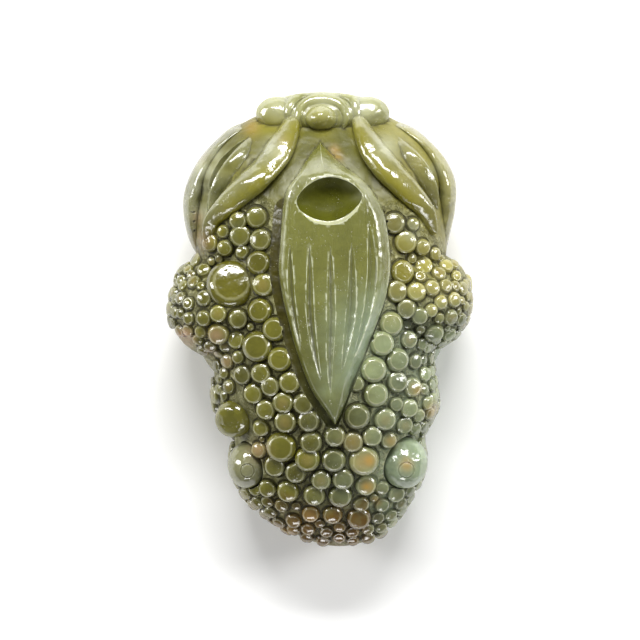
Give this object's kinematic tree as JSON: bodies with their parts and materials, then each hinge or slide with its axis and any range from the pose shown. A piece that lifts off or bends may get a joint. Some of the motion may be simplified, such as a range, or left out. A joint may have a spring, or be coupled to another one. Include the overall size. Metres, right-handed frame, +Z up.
{
  "type": "jade money toad",
  "caption": "Small carved stone toad lying on its belly, with a warty skin, folded legs and a long fluted leaf along its back.",
  "frame": {"origin": "middle of the footprint, on the plane the belly rests on", "axes": "+Z up through the back, the toad looks along -Y, and its left side is +X"},
  "size_m": [0.0337, 0.05, 0.0201],
  "materials": {
    "jade": "polished olive to celadon green jade with yellow-brown patches, waxy and a little translucent"
  },
  "bodies": {
    "root": {"money_toad": "jade"}
  },
  "joints": []
}
